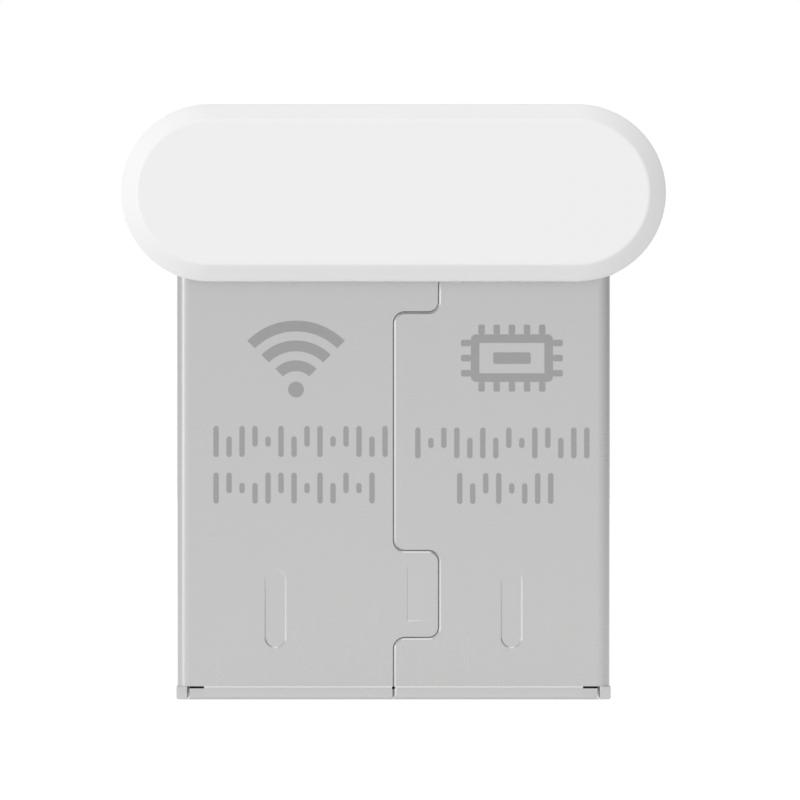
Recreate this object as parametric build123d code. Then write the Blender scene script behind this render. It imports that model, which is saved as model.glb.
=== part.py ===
from build123d import *
import os

# A nano USB wireless network adapter: a bevelled pill-shaped cap on a bare USB type A plug.
# Millimetres. X runs across the plug and Y through its thickness, with the seamed side of the shell
# at -Y. Z runs along the plug, with the cap on top. The origin is the middle of the plug where it
# leaves the cap, so the plug hangs below Z 0 and its mouth opens downwards.

# Cap: two moulded covers that meet at Y 0
CAP_WIDTH = 15.05
CAP_HEIGHT = 4.90
CAP_THICKNESS = 7.00
CAP_BEVEL = 0.46
CAP_WALL = 0.70
PARTING_BEVEL = 0.04
JOINT_LIP_HEIGHT = 0.40
JOINT_LIP_WALL = 0.25
JOINT_CLEARANCE = 0.03
JOINT_ROOT = 0.20
PEG_RADIUS = 0.30
PEG_LENGTH = 1.60
PEG_CLEARANCE = 0.02
POST_RADIUS = 0.32
POST_CLEARANCE = 0.02
CAVITY_END_GAP = 0.15

# Plug shell: folded sheet, with the seam down the middle of its -Y side
PLUG_WIDTH = 12.00
PLUG_THICKNESS = 4.50
PLUG_REACH = 11.56
SHEET = 0.30
INNER_BEND_RADIUS = 0.06
SHELL_TUCK = 1.75
SHELL_CLEARANCE = 0.03

# Lip round the mouth: each wall ends in its own strip, a little proud of the wall
LIP_HEIGHT = 0.36
LIP_PROUD = 0.02
LIP_ROUND = 0.17
LIP_LEAD_IN = 0.08
SIDE_LIP_ROUND = 0.05
CORNER_GAP = 0.05
RELIEF_SLOT_LENGTH = 0.45
RELIEF_SLOT_HEIGHT = 0.08
LIP_END_INSET = 0.035
SEAM_HOLE_RADIUS = 0.07
SEAM_NOTCH = 0.07

# Interlocked seam: tabs of the -X side reach into the +X side
SEAM_GAP = 0.035
SEAM_EDGE = 0.04
TAB_REACH = 1.25
TAB_ROUND = 0.30
LOW_TAB_FROM_MOUTH = (1.71, 4.12)
HIGH_TAB_BELOW_CAP = 0.83

# Coined marks in the broad sides
DIMPLE_SPACING = 6.54
DIMPLE_LENGTH = 2.18
DIMPLE_WIDTH = 0.62
DIMPLE_DEPTH = 0.035
DIMPLE_FROM_MOUTH = 2.53
STAKE_WIDTH = 0.64
STAKE_LENGTH = 1.52
STAKE_DEPTH = 0.05
STAKE_FROM_SEAM = 0.38
STAKE_FROM_MOUTH = 2.18
STAKE_LEAN_ACROSS = 3.2
STAKE_LEAN_ALONG = 1.2

# Flanges at the shell's top, held between ribs in the covers
FLANGE_WIDTH = 7.00
FLANGE_REACH = 0.45
RIB_WIDTH = 8.00
RIB_HEIGHT = 0.40
RIB_CLEARANCE = 0.03

# Tongue: the carrier and the board, with the contacts level with its face
TONGUE_THICKNESS = 1.95
NOSE_SETBACK = 0.35
NOSE_LENGTH = 1.00
NOSE_CHAMFER = 0.30
CARRIER_CLEARANCE = 0.04
CARRIER_RAIL = 0.40
CARRIER_LEDGE = 0.40
CARRIER_FLOOR = 0.25
CARRIER_TUCK = 0.60
BOARD_THICKNESS = 0.80
BOARD_CLEARANCE = 0.05
BOARD_CAP_GAP = 0.20
BOARD_CORNER = 0.60
BOARD_NOTCH_RADIUS = 0.30

# Contacts, from VBUS at -X to ground at +X
CONTACT_WIDTH = 1.00
CONTACT_THICKNESS = 0.10
CONTACT_ROUND = 0.20
CONTACT_TAIL_BELOW_CAP = 2.60
POWER_CONTACT_X = 3.50
DATA_CONTACT_X = 1.00
DATA_CONTACT_SETBACK = 1.00
FIRST_CONTACT_GAP = 0.12

# Radio chip and its pads, under the board in the carrier
SOLDER_FILM = 0.05
RADIO_SIDE = 6.00
THERMAL_PAD_THICKNESS = 0.30
RADIO_ROUND = 0.08
RADIO_BELOW_CAP = 4.90
RADIO_PADS_PER_SIDE = 12
RADIO_PAD_PITCH = 0.40
RADIO_PAD = (0.20, 0.45)
RADIO_GROUND_PAD = 4.20
CARRIER_WINDOW_MARGIN = 0.25

# Chip components: length along X, width along Z and height off the board
PASSIVE_SIZE = (1.00, 0.50, 0.50)
PASSIVE_END_CAP = 0.22
PASSIVE_COLUMN_GAP = 0.35
PASSIVE_PITCH = 1.15
PASSIVES_PER_COLUMN = 6

# Parts on the board inside the cap
INDUCTOR_SIZE = (2.00, 1.60, 1.00)
INDUCTOR_TERMINAL = 0.45
INDUCTOR_X = -3.30
CRYSTAL_SIZE = (2.50, 1.75, 0.55)
CRYSTAL_BASE_HEIGHT = 0.30
CRYSTAL_LID_MARGIN = 0.15
CRYSTAL_X = 3.10
REGULATOR_BODY = (2.00, 1.10, 0.90)
REGULATOR_X = 0.00
SURGE_BODY = (2.90, 1.50, 1.00)
SURGE_BELOW_CAP = 0.85
LEAD_WIDTH = 0.25
LEAD_SHEET = 0.12
LEAD_REACH = 0.38
LED_SIZE = (1.60, 0.80, 0.60)
LED_BASE_HEIGHT = 0.25
LED_LENS_LENGTH = 1.10
LED_LENS_ROUND = 0.20
LED_X = 3.60

# Antenna: a stamped strip on two legs, folded over along its top edge
ANTENNA_SHEET = 0.20
ANTENNA_WIDTH = 9.20
ANTENNA_BEND = 0.30
ANTENNA_COVER_GAP = 0.45
ANTENNA_HEIGHT = 1.15
ANTENNA_LEG_WIDTH = 0.60
ANTENNA_LEG_SPACING = 1.50
ANTENNA_SLOT = (6.00, 0.25)
ANTENNA_SLOT_BELOW_TOP = 0.60
SOLDER_FILLET = 0.16
SHELL_SOLDER_LENGTH = 0.70
SHELL_SOLDER_RISE = 0.55

# Heights and faces that follow from those sizes
OVERRUN = 1.0
CAP_HALF_THICKNESS = CAP_THICKNESS / 2
PLUG_FACE = PLUG_THICKNESS / 2
PLUG_SIDE = PLUG_WIDTH / 2
BEND_RADIUS = SHEET + INNER_BEND_RADIUS
BORE_FACE = PLUG_FACE - SHEET
BORE_SIDE = PLUG_SIDE - SHEET
MOUTH_Z = -PLUG_REACH
LIP_TOP_Z = MOUTH_Z + LIP_HEIGHT
CAVITY_SIDE = PLUG_SIDE + CAVITY_END_GAP
CAVITY_FACE = CAP_HALF_THICKNESS - CAP_WALL
CAVITY_TOP_Z = CAP_HEIGHT - CAP_WALL
FLANGE_Z = (SHELL_TUCK - SHEET, SHELL_TUCK)
RIB_TOP_Z = SHELL_TUCK + RIB_CLEARANCE + RIB_HEIGHT
TONGUE_FACE = TONGUE_THICKNESS - BORE_FACE
BOARD_TOP = TONGUE_FACE - CONTACT_THICKNESS
BOARD_UNDERSIDE = BOARD_TOP - BOARD_THICKNESS
RADIO_TOP = THERMAL_PAD_THICKNESS - BORE_FACE
RADIO_THICKNESS = BOARD_UNDERSIDE - SOLDER_FILM - RADIO_TOP
CARRIER_SIDE = BORE_SIDE - CARRIER_CLEARANCE
CARRIER_BACK = -BORE_FACE + CARRIER_CLEARANCE
NOSE_Z = MOUTH_Z + NOSE_SETBACK
BOARD_SIDE = CARRIER_SIDE - CARRIER_RAIL - BOARD_CLEARANCE
BOARD_LOW_Z = NOSE_Z + NOSE_LENGTH + BOARD_CLEARANCE
BOARD_WING_Z = SHELL_TUCK + BOARD_CAP_GAP
BOARD_HIGH_Z = CAVITY_TOP_Z - BOARD_CAP_GAP
BOARD_WING_SIDE = CAVITY_SIDE - BOARD_CAP_GAP
CHIP_ROW_Z = (BOARD_WING_Z + BOARD_HIGH_Z) / 2
POST_X = (BOARD_SIDE + BOARD_WING_SIDE) / 2
PEG_X = (CAVITY_SIDE + CAP_WIDTH / 2) / 2
PEG_Z = CAP_HEIGHT / 2


def block(x, y, z):
    """A box between (low, high) pairs along X, Y and Z."""
    pairs = (x, y, z)
    size = [high - low for low, high in pairs]
    middle = [(low + high) / 2 for low, high in pairs]
    return Pos(*middle) * Box(*size)


def wide(half_width, y, z):
    """A box centred on X 0."""
    return block((-half_width, half_width), y, z)


def plate(outline, y_low, y_high):
    """A sketch drawn in X and Z, given its thickness between two planes along Y."""
    return extrude(Plane.XZ.offset(-y_high) * outline, amount=y_high - y_low, dir=(0, -1, 0))


def strip(section, x_low, x_high):
    """A sketch drawn in Y and Z, given its length between two planes along X."""
    return extrude(Plane.YZ.offset(x_low) * section, amount=x_high - x_low, dir=(1, 0, 0))


def rod(radius, x, z, y_low, y_high):
    """A round bar along Y."""
    return plate(Pos(x, z) * Circle(radius), y_low, y_high)


def left_and_right(shape):
    """The shape and its mirror image across X 0."""
    return [shape, mirror(shape, about=Plane.YZ)]


def front_and_back(shape):
    """The shape and its mirror image across Y 0."""
    return [shape, mirror(shape, about=Plane.XZ)]


def all_corners(shape):
    """The shape and its mirror images in the four corners of the plug."""
    return [corner for side in left_and_right(shape) for corner in front_and_back(side)]


def pill(inset):
    """The cap's outline in X and Z, moved inwards by inset."""
    return Pos(0, CAP_HEIGHT / 2) * SlotOverall(CAP_WIDTH - 2 * inset, CAP_HEIGHT - 2 * inset)


def cavity(grown=0.0):
    """The cap's hollow in X and Z, moved outwards by grown."""
    half = CAVITY_SIDE + grown
    ends = Pos(0, CAP_HEIGHT / 2) * Rectangle(2 * half, 2 * CAP_HEIGHT)
    return pill(CAP_WALL - grown) & ends


def shell_envelope(clearance):
    """The space that the plug shell takes, as it passes into the cap."""
    outline = RectangleRounded(
        PLUG_WIDTH + 2 * clearance, PLUG_THICKNESS + 2 * clearance, BEND_RADIUS + clearance
    )
    return extrude(Pos(0, 0, -OVERRUN) * outline, SHELL_TUCK + clearance + OVERRUN)


def cover_half(side):
    """One half of the cap on the side of Y that side names, with its outer bevel and its hollow."""
    half = plate(pill(0), 0, CAP_HALF_THICKNESS)
    broad_face = half.faces().sort_by(Axis.Y)[-1]
    half = chamfer(broad_face.edges(), CAP_BEVEL)
    parting_face = half.faces().sort_by(Axis.Y)[0]
    half = chamfer(parting_face.edges(), PARTING_BEVEL)
    half -= plate(cavity(), -OVERRUN, CAVITY_FACE)
    half += shell_ribs()
    half -= shell_envelope(SHELL_CLEARANCE)
    return half if side > 0 else mirror(half, about=Plane.XZ)


def shell_ribs():
    """The step under the shell's flange and the rib over it, reaching from the +Y cover to the shell."""
    reach = (PLUG_FACE + SHELL_CLEARANCE, CAVITY_FACE)
    step = wide(RIB_WIDTH / 2, reach, (CAP_WALL, FLANGE_Z[0] - RIB_CLEARANCE))
    rib = wide(RIB_WIDTH / 2, reach, (RIB_TOP_Z - RIB_HEIGHT, RIB_TOP_Z))
    return [step, rib]


def board_posts(y_low, y_high):
    """A pair of round posts that hold the board's wings."""
    return left_and_right(rod(POST_RADIUS, POST_X, CHIP_ROW_Z, y_low, y_high))


def front_cover():
    """Cover on the seam side, with the groove and the peg holes of the joint."""
    cover = cover_half(-1)
    depth = JOINT_LIP_HEIGHT + JOINT_CLEARANCE
    cover -= plate(cavity(JOINT_LIP_WALL + JOINT_CLEARANCE), -depth, OVERRUN)
    hole_end = -PEG_LENGTH - PEG_CLEARANCE
    cover -= left_and_right(rod(PEG_RADIUS + PEG_CLEARANCE, PEG_X, PEG_Z, hole_end, OVERRUN))
    cover += board_posts(-CAVITY_FACE, BOARD_UNDERSIDE - POST_CLEARANCE)
    return cover


def rear_cover():
    """Cover on the plain side of the plug: the joint's lip and pegs, and a wall behind the mouth."""
    cover = cover_half(1)
    lip = plate(cavity(JOINT_LIP_WALL) - cavity(), -JOINT_LIP_HEIGHT, JOINT_ROOT)
    cover += lip - shell_envelope(SHELL_CLEARANCE)
    cover += left_and_right(rod(PEG_RADIUS, PEG_X, PEG_Z, -PEG_LENGTH, JOINT_ROOT))
    to_board = (BOARD_TOP + POST_CLEARANCE, CAVITY_FACE)
    cover += board_posts(*to_board)
    cover += wide(BORE_SIDE, to_board, (RIB_TOP_Z - RIB_HEIGHT, RIB_TOP_Z))
    return cover


def broad_lip():
    """The strip at the mouth of the +Y wall, with its step, its rounded front and its lead-in."""
    outer = PLUG_FACE + LIP_PROUD
    section = Polygon(
        (BORE_FACE, MOUTH_Z),
        (outer, MOUTH_Z),
        (outer, LIP_TOP_Z - LIP_PROUD),
        (PLUG_FACE, LIP_TOP_Z),
        (BORE_FACE, LIP_TOP_Z),
        align=None,
    )
    front_corners = section.vertices().sort_by(Axis.Y)[:2].sort_by(Axis.X)
    section = fillet(front_corners[0], LIP_LEAD_IN)
    section = fillet(section.vertices().sort_by(Axis.Y)[:3].sort_by(Axis.X)[-1], LIP_ROUND)
    half = BORE_SIDE - CORNER_GAP
    lip = strip(section, -half, half)
    free_end = (BORE_SIDE - RELIEF_SLOT_LENGTH, PLUG_SIDE)
    slot = block(free_end, (0, PLUG_THICKNESS), (LIP_TOP_Z - RELIEF_SLOT_HEIGHT, LIP_TOP_Z))
    lip -= left_and_right(slot)
    skim = block(free_end, (outer - LIP_END_INSET, PLUG_THICKNESS), (MOUTH_Z, LIP_TOP_Z))
    lip -= left_and_right(skim)
    return lip


def side_lip():
    """The strip at the mouth of the +X wall, square at its ends."""
    strip = block((BORE_SIDE, PLUG_SIDE + LIP_PROUD), (-PLUG_FACE, PLUG_FACE), (MOUTH_Z, LIP_TOP_Z))
    free_edges = strip.edges().sort_by(Axis.Z)[:-4]
    return fillet(free_edges, SIDE_LIP_ROUND)


def seam_path():
    """The line of the seam in X and Z, from below the mouth to above the shell's top."""
    low, high = (MOUTH_Z + z for z in LOW_TAB_FROM_MOUTH)
    return FilletPolyline(
        (0, MOUTH_Z - OVERRUN),
        (0, low),
        (TAB_REACH, low),
        (TAB_REACH, high),
        (0, high),
        (0, -HIGH_TAB_BELOW_CAP),
        (TAB_REACH, -HIGH_TAB_BELOW_CAP),
        (TAB_REACH, SHELL_TUCK + OVERRUN),
        radius=TAB_ROUND,
    )


def seam():
    """What the seam takes out of the -Y wall: the gap, its broken edges, its hole and its notch."""
    path = seam_path()
    through = (-CAP_HALF_THICKNESS, -BORE_FACE + SHEET / 2)
    gap = plate(trace(path, SEAM_GAP), *through)
    edges = trace(path, SEAM_GAP + 2 * SEAM_EDGE)
    bevel = extrude(Plane.XZ.offset(PLUG_FACE) * edges, amount=-SEAM_EDGE, taper=45)
    over_bevel = plate(edges, -CAP_HALF_THICKNESS, -PLUG_FACE)
    hole = rod(SEAM_HOLE_RADIUS, 0, LIP_TOP_Z - SEAM_HOLE_RADIUS, *through)
    half_notch = SEAM_GAP / 2 + SEAM_NOTCH
    corners = [(-half_notch, MOUTH_Z), (half_notch, MOUTH_Z), (0, MOUTH_Z + half_notch)]
    notch = plate(Polygon(*corners, align=None), *through)
    return [gap, bevel, over_bevel, hole, notch]


def dimples():
    """The oblong dimples of the +Y wall."""
    outline = Rot(0, 0, 90) * SlotOverall(DIMPLE_LENGTH, DIMPLE_WIDTH)
    placed = Pos(DIMPLE_SPACING / 2, MOUTH_Z + DIMPLE_FROM_MOUTH) * outline
    face = Plane.XZ.offset(-PLUG_FACE) * placed
    return left_and_right(extrude(face, amount=DIMPLE_DEPTH, taper=45))


def stake_mark():
    """A leaning rectangular pocket on the low tab, deepest at its corner by the mouth and the seam."""
    lean = Rot(STAKE_LEAN_ALONG, 0, STAKE_LEAN_ACROSS)
    pocket = lean * block((0, STAKE_WIDTH), (-SHEET, 0), (0, STAKE_LENGTH))
    return Pos(STAKE_FROM_SEAM, -PLUG_FACE + STAKE_DEPTH, MOUTH_Z + STAKE_FROM_MOUTH) * pocket


def plug_shell():
    """The folded shell: a tube with a lip at the mouth and a flange at the top of each broad side."""
    height = SHELL_TUCK - LIP_TOP_Z
    outline = RectangleRounded(PLUG_WIDTH, PLUG_THICKNESS, BEND_RADIUS)
    bore = RectangleRounded(2 * BORE_SIDE, 2 * BORE_FACE, INNER_BEND_RADIUS)
    shell = extrude(Pos(0, 0, LIP_TOP_Z) * (outline - bore), height)
    shell += front_and_back(broad_lip()) + left_and_right(side_lip())
    flange = wide(FLANGE_WIDTH / 2, (PLUG_FACE - SHEET, PLUG_FACE + FLANGE_REACH), FLANGE_Z)
    flange = fillet(flange.edges().filter_by(Axis.Z).sort_by(Axis.Y)[-2:], FLANGE_REACH / 2)
    shell += front_and_back(flange)
    for cut in seam():
        shell -= cut
    for dimple in dimples():
        shell -= front_and_back(dimple)
    return shell - stake_mark()


def board_carrier():
    """The moulding behind the board: a nose at the mouth, rails, ledges and a floor with a window."""
    ends = (NOSE_Z, CARRIER_TUCK)
    carrier = wide(CARRIER_SIDE, (CARRIER_BACK, TONGUE_FACE), ends)
    nose_edge = carrier.edges().filter_by(Axis.X).sort_by(Axis.Z)[:2].sort_by(Axis.Y)[-1]
    carrier = chamfer(nose_edge, NOSE_CHAMFER)
    behind_nose = (NOSE_Z + NOSE_LENGTH, CARRIER_TUCK + OVERRUN)
    seat = (BOARD_UNDERSIDE, TONGUE_FACE + OVERRUN)
    carrier -= wide(CARRIER_SIDE - CARRIER_RAIL, seat, behind_nose)
    ledge_side = CARRIER_SIDE - CARRIER_RAIL - CARRIER_LEDGE
    well = (CARRIER_BACK + CARRIER_FLOOR, BOARD_UNDERSIDE + OVERRUN)
    behind_ledge = (behind_nose[0] + CARRIER_LEDGE, behind_nose[1])
    carrier -= wide(ledge_side, well, behind_ledge)
    window = RADIO_SIDE / 2 + CARRIER_WINDOW_MARGIN
    window_z = (-RADIO_BELOW_CAP - window, -RADIO_BELOW_CAP + window)
    return carrier - wide(ledge_side, (-PLUG_FACE, BOARD_UNDERSIDE), window_z)


def main_board():
    """The board: a narrow part in the plug and wings in the cap, with half-round tooling notches."""
    low = Pos(0, (BOARD_LOW_Z + BOARD_HIGH_Z) / 2) * Rectangle(
        2 * BOARD_SIDE, BOARD_HIGH_Z - BOARD_LOW_Z
    )
    wings = Pos(0, CHIP_ROW_Z) * Rectangle(2 * BOARD_WING_SIDE, BOARD_HIGH_Z - BOARD_WING_Z)
    wings = fillet(wings.vertices().sort_by(Axis.Y)[-2:], BOARD_CORNER)
    outline = low + wings
    for x in (-BOARD_SIDE, BOARD_SIDE):
        outline -= Pos(x, MOUTH_Z / 2) * Circle(BOARD_NOTCH_RADIUS)
    return plate(outline, BOARD_UNDERSIDE, BOARD_TOP)


def contact(x, setback):
    """One gold contact on the board, rounded at its front end."""
    front = BOARD_LOW_Z + FIRST_CONTACT_GAP + setback
    length = -CONTACT_TAIL_BELOW_CAP - front
    outline = Pos(x, front + length / 2) * Rectangle(CONTACT_WIDTH, length)
    outline = fillet(outline.vertices().sort_by(Axis.Y)[:2], CONTACT_ROUND)
    return plate(outline, BOARD_TOP, TONGUE_FACE)


def on_board(size, x, z, side, lift=0.0):
    """A box of (width, length, height) that stands on one face of the board, lifted off it by lift."""
    width, length, height = size
    face = BOARD_TOP + lift if side > 0 else BOARD_UNDERSIDE - lift
    y = (face, face + height) if side > 0 else (face - height, face)
    return block((x - width / 2, x + width / 2), y, (z - length / 2, z + length / 2))


def radio_chip():
    """The radio's package, face down on the board in the plug."""
    size = (RADIO_SIDE, RADIO_SIDE, RADIO_THICKNESS)
    body = on_board(size, 0, -RADIO_BELOW_CAP, -1, SOLDER_FILM)
    return fillet(body.edges().filter_by(Axis.Y), RADIO_ROUND)


def radio_chip_pads():
    """The soldered pads round the radio's edge, and the large one under its middle."""
    width, length = RADIO_PAD
    inset = RADIO_SIDE / 2 - length / 2 + SOLDER_FILM
    middle = -RADIO_BELOW_CAP
    pads = [on_board((RADIO_GROUND_PAD, RADIO_GROUND_PAD, SOLDER_FILM), 0, middle, -1)]
    for n in range(RADIO_PADS_PER_SIDE):
        along = (n - (RADIO_PADS_PER_SIDE - 1) / 2) * RADIO_PAD_PITCH
        for edge in (-inset, inset):
            pads.append(on_board((width, length, SOLDER_FILM), along, middle + edge, -1))
            pads.append(on_board((length, width, SOLDER_FILM), edge, middle + along, -1))
    return Compound(pads)


def thermal_pad():
    """The soft pad that carries the radio's heat through the carrier's window to the shell."""
    half = RADIO_SIDE / 2
    middle = -RADIO_BELOW_CAP
    return wide(half, (-BORE_FACE, RADIO_TOP), (middle - half, middle + half))


def passive_places():
    """(x, z, is it a resistor) of each chip component, in a column on each side of the radio."""
    column = RADIO_SIDE / 2 + PASSIVE_COLUMN_GAP + PASSIVE_SIZE[0] / 2
    places = []
    for n in range(PASSIVES_PER_COLUMN):
        z = -RADIO_BELOW_CAP + (n - (PASSIVES_PER_COLUMN - 1) / 2) * PASSIVE_PITCH
        places.append((-column, z, n % 3 == 2))
        places.append((column, z, n % 2 == 1))
    return places


def passive_bodies(resistors):
    """The bodies of the resistors or of the capacitors, between their end caps."""
    length, width, height = PASSIVE_SIZE
    body = (length - 2 * PASSIVE_END_CAP, width, height)
    return Compound([on_board(body, x, z, -1) for x, z, kind in passive_places() if kind == resistors])


def passive_end_caps():
    """The tinned ends of every chip component."""
    length, width, height = PASSIVE_SIZE
    cap = (PASSIVE_END_CAP, width, height)
    reach = (length - PASSIVE_END_CAP) / 2
    places = [(x + end, z) for x, z, _ in passive_places() for end in (-reach, reach)]
    return Compound([on_board(cap, x, z, -1) for x, z in places])


def inductor_core():
    """The power inductor's moulded body, between its terminals."""
    length, width, height = INDUCTOR_SIZE
    body = (length - 2 * INDUCTOR_TERMINAL, width, height)
    return on_board(body, INDUCTOR_X, CHIP_ROW_Z, -1)


def inductor_terminals():
    """The two terminals at the inductor's ends."""
    length, width, height = INDUCTOR_SIZE
    reach = (length - INDUCTOR_TERMINAL) / 2
    terminal = (INDUCTOR_TERMINAL, width, height)
    return Compound([on_board(terminal, INDUCTOR_X + end, CHIP_ROW_Z, -1) for end in (-reach, reach)])


def crystal_base():
    """The crystal's ceramic tray."""
    width, length, _ = CRYSTAL_SIZE
    return on_board((width, length, CRYSTAL_BASE_HEIGHT), CRYSTAL_X, CHIP_ROW_Z, -1)


def crystal_lid():
    """The crystal's welded metal lid."""
    width, length, height = CRYSTAL_SIZE
    size = (
        width - 2 * CRYSTAL_LID_MARGIN,
        length - 2 * CRYSTAL_LID_MARGIN,
        height - CRYSTAL_BASE_HEIGHT,
    )
    lid = on_board(size, CRYSTAL_X, CHIP_ROW_Z, -1, CRYSTAL_BASE_HEIGHT)
    return fillet(lid.edges().filter_by(Axis.Y), CRYSTAL_LID_MARGIN)


def gull_leads(body, x, z, side, places):
    """Bent leads on the two long sides of a moulded body: places along X, and (low or high side)."""
    _, length, height = body
    leads = []
    for along, end in places:
        edge = z + end * length / 2
        foot = on_board((LEAD_WIDTH, LEAD_REACH, LEAD_SHEET), x + along, edge + end * LEAD_REACH / 2, side)
        riser = on_board((LEAD_WIDTH, LEAD_SHEET, height / 2), x + along, edge + end * LEAD_SHEET / 2, side)
        leads.append(foot + riser)
    return Compound(leads)


def regulator_places():
    """Where the regulator's five leads are: three on one side and two on the other."""
    pitch = REGULATOR_BODY[0] / 3
    return [(-pitch, -1), (0, -1), (pitch, -1), (-pitch, 1), (pitch, 1)]


def surge_places():
    """Where the surge protector's six leads are."""
    pitch = SURGE_BODY[0] / 3
    return [(along, end) for along in (-pitch, 0, pitch) for end in (-1, 1)]


def moulded_body(size, x, z, side):
    """A small package, lifted off the board by its leads' thickness."""
    width, length, height = size
    body = on_board((width, length, height - LEAD_SHEET / 2), x, z, side, LEAD_SHEET / 2)
    top = body.faces().sort_by(Axis.Y)[-1 if side > 0 else 0]
    return chamfer(top.edges(), LEAD_SHEET)


def antenna():
    """The stamped strip: an arm by the rear cover, folded over along its top edge into two legs."""
    arm_face = CAVITY_FACE - ANTENNA_COVER_GAP
    top = BOARD_HIGH_Z
    outer = Polygon(
        (BOARD_TOP, top),
        (arm_face, top),
        (arm_face, top - ANTENNA_HEIGHT),
        (arm_face - ANTENNA_SHEET, top - ANTENNA_HEIGHT),
        (arm_face - ANTENNA_SHEET, top - ANTENNA_SHEET),
        (BOARD_TOP, top - ANTENNA_SHEET),
        align=None,
    )
    fold = outer.vertices().sort_by(lambda v: v.X + v.Y)
    outer = fillet(fold[-1], ANTENNA_BEND)
    half = ANTENNA_WIDTH / 2
    sheet = strip(outer, -half, half)
    leg_space = (BOARD_TOP - OVERRUN, arm_face - ANTENNA_BEND - ANTENNA_SHEET)
    gaps = [(-half + ANTENNA_LEG_WIDTH, -half + ANTENNA_LEG_SPACING)]
    gaps.append((-half + ANTENNA_LEG_SPACING + ANTENNA_LEG_WIDTH, half + OVERRUN))
    for gap in gaps:
        sheet -= block(gap, leg_space, (top - ANTENNA_BEND, top + OVERRUN))
    slot_length, slot_width = ANTENNA_SLOT
    slot_z = top - ANTENNA_SLOT_BELOW_TOP
    slot_x = (half - slot_length, half + OVERRUN)
    through_arm = (arm_face - 2 * ANTENNA_SHEET, arm_face + OVERRUN)
    return sheet - block(slot_x, through_arm, (slot_z - slot_width / 2, slot_z + slot_width / 2))


def antenna_solder():
    """A fillet of solder at the foot of each of the antenna's legs, on its side towards the plug."""
    foot = BOARD_HIGH_Z - ANTENNA_SHEET
    section = Polygon(
        (BOARD_TOP, foot),
        (BOARD_TOP + 2 * SOLDER_FILLET, foot),
        (BOARD_TOP, foot - 2 * SOLDER_FILLET),
        align=None,
    )
    starts = [-ANTENNA_WIDTH / 2, -ANTENNA_WIDTH / 2 + ANTENNA_LEG_SPACING]
    return Compound([strip(section, x, x + ANTENNA_LEG_WIDTH) for x in starts])


def status_led_base():
    """The LED's white carrier."""
    width, length, _ = LED_SIZE
    return on_board((width, length, LED_BASE_HEIGHT), LED_X, CHIP_ROW_Z, 1)


def status_led_lens():
    """The LED's clear moulded lens."""
    _, width, height = LED_SIZE
    size = (LED_LENS_LENGTH, width, height - LED_BASE_HEIGHT)
    lens = on_board(size, LED_X, CHIP_ROW_Z, 1, LED_BASE_HEIGHT)
    return fillet(lens.faces().sort_by(Axis.Y)[-1].edges().filter_by(Axis.Z), LED_LENS_ROUND)


def shell_solder():
    """The solder that grounds the shell to each side of the board, above the carrier."""
    section = Polygon(
        (BOARD_SIDE, BOARD_UNDERSIDE),
        (BORE_SIDE, BOARD_UNDERSIDE),
        (BORE_SIDE, BOARD_TOP + SHELL_SOLDER_RISE),
        (BOARD_SIDE - SHELL_SOLDER_RISE / 2, BOARD_TOP),
        (BOARD_SIDE, BOARD_TOP),
        align=None,
    )
    low = SHELL_TUCK - SHELL_SOLDER_LENGTH
    joint = extrude(Pos(0, 0, low) * section, SHELL_SOLDER_LENGTH)
    return Compound(left_and_right(joint))


def parts():
    """Every piece of the adapter, by the name of its node."""
    surge_z = -SURGE_BELOW_CAP
    return {
        "front_cover": front_cover(),
        "rear_cover": rear_cover(),
        "plug_shell": plug_shell(),
        "board_carrier": board_carrier(),
        "main_board": main_board(),
        "contact_vbus": contact(-POWER_CONTACT_X, 0),
        "contact_data_minus": contact(-DATA_CONTACT_X, DATA_CONTACT_SETBACK),
        "contact_data_plus": contact(DATA_CONTACT_X, DATA_CONTACT_SETBACK),
        "contact_ground": contact(POWER_CONTACT_X, 0),
        "radio_chip": radio_chip(),
        "radio_chip_pads": radio_chip_pads(),
        "thermal_pad": thermal_pad(),
        "chip_capacitors": passive_bodies(resistors=False),
        "chip_resistors": passive_bodies(resistors=True),
        "passive_end_caps": passive_end_caps(),
        "power_inductor_core": inductor_core(),
        "power_inductor_terminals": inductor_terminals(),
        "crystal_base": crystal_base(),
        "crystal_lid": crystal_lid(),
        "voltage_regulator": moulded_body(REGULATOR_BODY, REGULATOR_X, CHIP_ROW_Z, -1),
        "regulator_leads": gull_leads(
            REGULATOR_BODY, REGULATOR_X, CHIP_ROW_Z, -1, regulator_places()
        ),
        "surge_protector": moulded_body(SURGE_BODY, 0, surge_z, 1),
        "surge_protector_leads": gull_leads(SURGE_BODY, 0, surge_z, 1, surge_places()),
        "antenna": antenna(),
        "antenna_solder": antenna_solder(),
        "status_led_base": status_led_base(),
        "status_led_lens": status_led_lens(),
        "shell_solder": shell_solder(),
    }


os.makedirs("parts", exist_ok=True)
for name, shape in parts().items():
    export_step(shape, f"parts/{name}.step")
    print(name, len(shape.solids()), "solid(s)", round(sum(s.volume for s in shape.solids()), 3), "mm3")
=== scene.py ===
import math

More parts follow.
